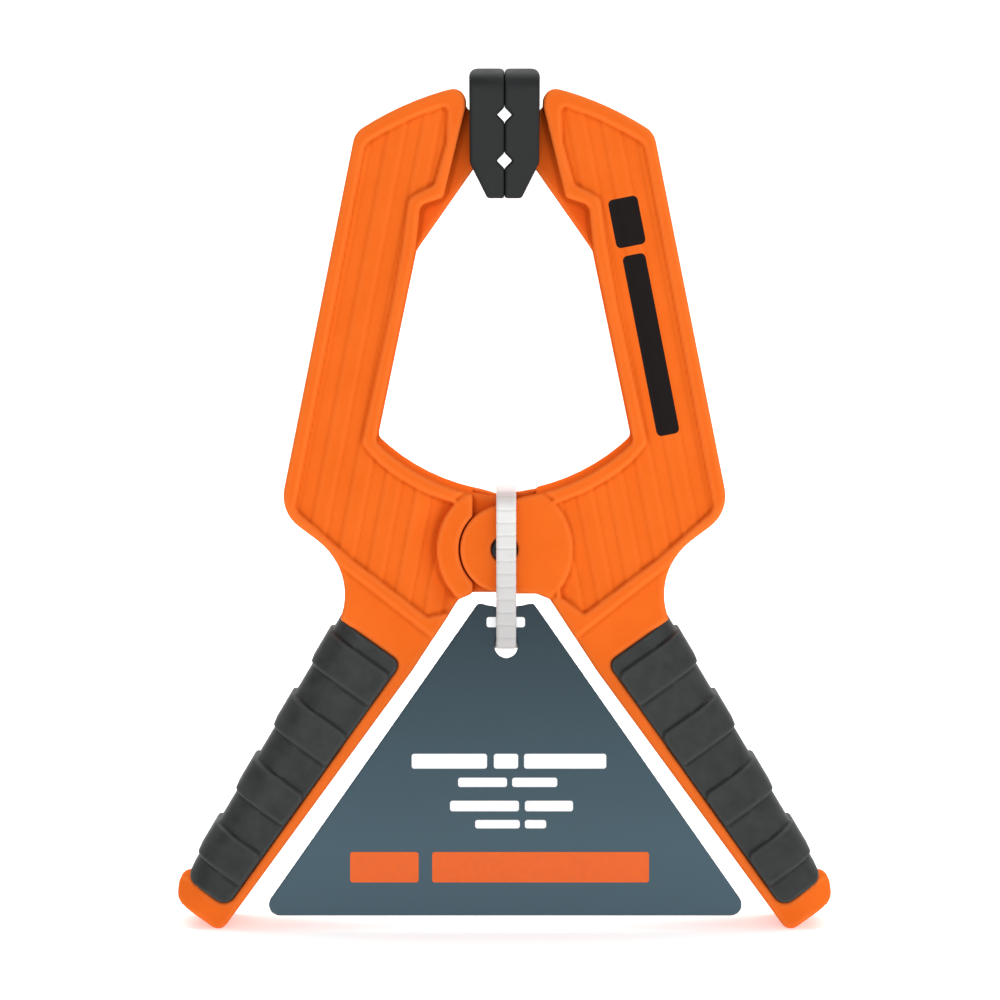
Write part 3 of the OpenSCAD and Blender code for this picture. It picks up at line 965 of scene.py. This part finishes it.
def tie_material():
    """White nylon strap, with painted shade that makes it greyer towards its lower end."""
    shader = Shader("white_nylon", 0.4, Subsurface_Weight=0.1, Subsurface_Scale=0.001)
    split = shader.node("ShaderNodeSeparateXYZ")
    shader.link(shader.place, split.inputs["Vector"])
    # Painted shade: the strap greys towards its lower end
    height = shader.spread(split.outputs["Z"], 0, 1, 0.068, 0.102)
    cloud = shader.noise(300, 3.0)
    colour = shader.mix(height, srgb(188, 186, 186), srgb(226, 226, 225))
    # A thin shadow in each cross groove of the strap
    turns = shader.math("MULTIPLY", split.outputs["Z"], 1 / (RIB_PITCH * MM))
    phase = shader.math("FRACT", shader.math("ADD", turns, (RIB_SHIFT - PIVOT_Z) / RIB_PITCH))
    off = shader.math("ABSOLUTE", shader.math("SUBTRACT", phase, 0.5))
    colour = shader.mix(shader.spread(off, 0.3, 0, 0.01, 0.06), colour, srgb(176, 174, 172))
    shader.set("Base Color", shader.mix(shader.spread(cloud, 0, 0.08), colour, srgb(170, 168, 166)))
    shader.set("Roughness", shader.spread(cloud, 0.34, 0.46))
    shader.bump(shader.noise(2600, 2.0), 0.15, 0.00003)
    return shader.material


def tag_material():
    """Printed card: slate, lighter towards the bottom."""
    shader = Shader("tag_print", 0.42, Specular_IOR_Level=0.28)
    split = shader.node("ShaderNodeSeparateXYZ")
    shader.link(shader.place, split.inputs["Vector"])
    height = shader.spread(split.outputs["Z"], 0, 1, 0.020, 0.078)
    colour = shader.mix(height, srgb(62, 86, 98), srgb(32, 49, 57))
    fibre = shader.noise(1500, 4.0)
    shader.set("Base Color", colour)
    shader.set("Roughness", shader.spread(fibre, 0.38, 0.5))
    shader.bump(fibre, 0.15, 0.00003)
    return shader.material


# ---------- stage, light and camera ----------

def build_stage():
    """A pale floor that curves up into a backdrop."""
    back, radius, wide = 1.3, 0.6, 3.0
    profile = [(-2.0, 0.0), (back, 0.0)]
    angles = np.linspace(0.1, math.pi / 2, 12)
    profile += [(back + radius * math.sin(t), radius * (1 - math.cos(t))) for t in angles]
    profile.append((back + radius, 3.0))
    points = [(x, y, z) for x in (-wide, wide) for y, z in profile]
    n = len(profile)
    faces = [(i, i + 1, n + i + 1, n + i) for i in range(n - 1)]
    mesh = bpy.data.meshes.new("floor")
    mesh.from_pydata(points, [], faces)
    for polygon in mesh.polygons:
        polygon.use_smooth = True
    floor = bpy.data.objects.new("floor", mesh)
    bpy.context.scene.collection.objects.link(floor)
    shader = Shader("floor_paper", 0.9, Emission_Color=(1, 1, 1, 1), Emission_Strength=0.4)
    shader.set("Base Color", shader.mix(shader.spread(shader.noise(6, 2.0), 0, 1),
                                        srgb(244, 244, 244), srgb(248, 248, 248)))
    mesh.materials.append(shader.material)


def area_light(name, place, target, size, power):
    """A soft rectangular light aimed at a point."""
    light = bpy.data.lights.new(name, "AREA")
    light.shape = "RECTANGLE"
    light.size, light.size_y = size
    light.energy = power
    lamp = bpy.data.objects.new(name, light)
    lamp.location = place
    lamp.rotation_euler = (Vector(target) - Vector(place)).to_track_quat("-Z", "Y").to_euler()
    bpy.context.scene.collection.objects.link(lamp)


def build_light():
    """Two soft front lights, a strip from the side, one for the backdrop and a dim world."""
    centre = (0, 0, 0.1)
    area_light("key", (-0.15, -1.4, 0.62), centre, (0.9, 0.9), 5.3)
    area_light("fill", (0.65, -1.3, 0.3), centre, (1.0, 1.0), 4.1)
    area_light("side", (0.9, -0.35, 0.35), centre, (0.3, 0.8), 1.6)
    area_light("backdrop", (0, 0.5, 1.4), (0, 0.8, 0.0), (2.2, 1.0), 26)
    world = bpy.data.worlds.new("studio")
    world.use_nodes = True
    world.node_tree.nodes["Background"].inputs["Color"].default_value = (1, 1, 1, 1)
    world.node_tree.nodes["Background"].inputs["Strength"].default_value = 0.29
    bpy.context.scene.world = world


def build_camera():
    """Looks slightly down from jaw height."""
    distance, jaw_height, aim_x, aim_z, field = 1.118, 0.180, -0.00105, 0.10068, 0.23715
    camera = bpy.data.cameras.new("camera")
    place = Vector((aim_x, -distance, jaw_height))
    target = Vector((aim_x, 0, aim_z))
    camera.sensor_width = 36
    camera.lens = camera.sensor_width * (target - place).length / field
    viewer = bpy.data.objects.new("camera", camera)
    viewer.location = place
    viewer.rotation_euler = (target - place).to_track_quat("-Z", "Y").to_euler()
    bpy.context.scene.collection.objects.link(viewer)
    bpy.context.scene.camera = viewer
    bpy.context.scene.view_settings.view_transform = "Standard"


build_camera()
build_stage()
build_light()
build_arms(nylon_material("printed_nylon", ARM_PRINT), nylon_material("orange_nylon"))
build_grips(rubber_material())
build_pads(pad_material())
build_pivot(metal_material("black_steel", srgb(52, 54, 58), 0.42),
            metal_material("zinc_steel", srgb(196, 198, 200), 0.3),
            plain_nylon("natural_nylon", srgb(222, 216, 202), 0.45, 0.1))
build_spring(metal_material("spring_steel", srgb(150, 152, 156), 0.28))
build_tie(tie_material())
build_tag(tag_material())
print_bars("white_print", WHITE_ROWS, ink_material("white_ink", srgb(244, 246, 247)))
print_bars("orange_print", ORANGE_ROWS, ink_material("orange_ink", srgb(230, 98, 28)))
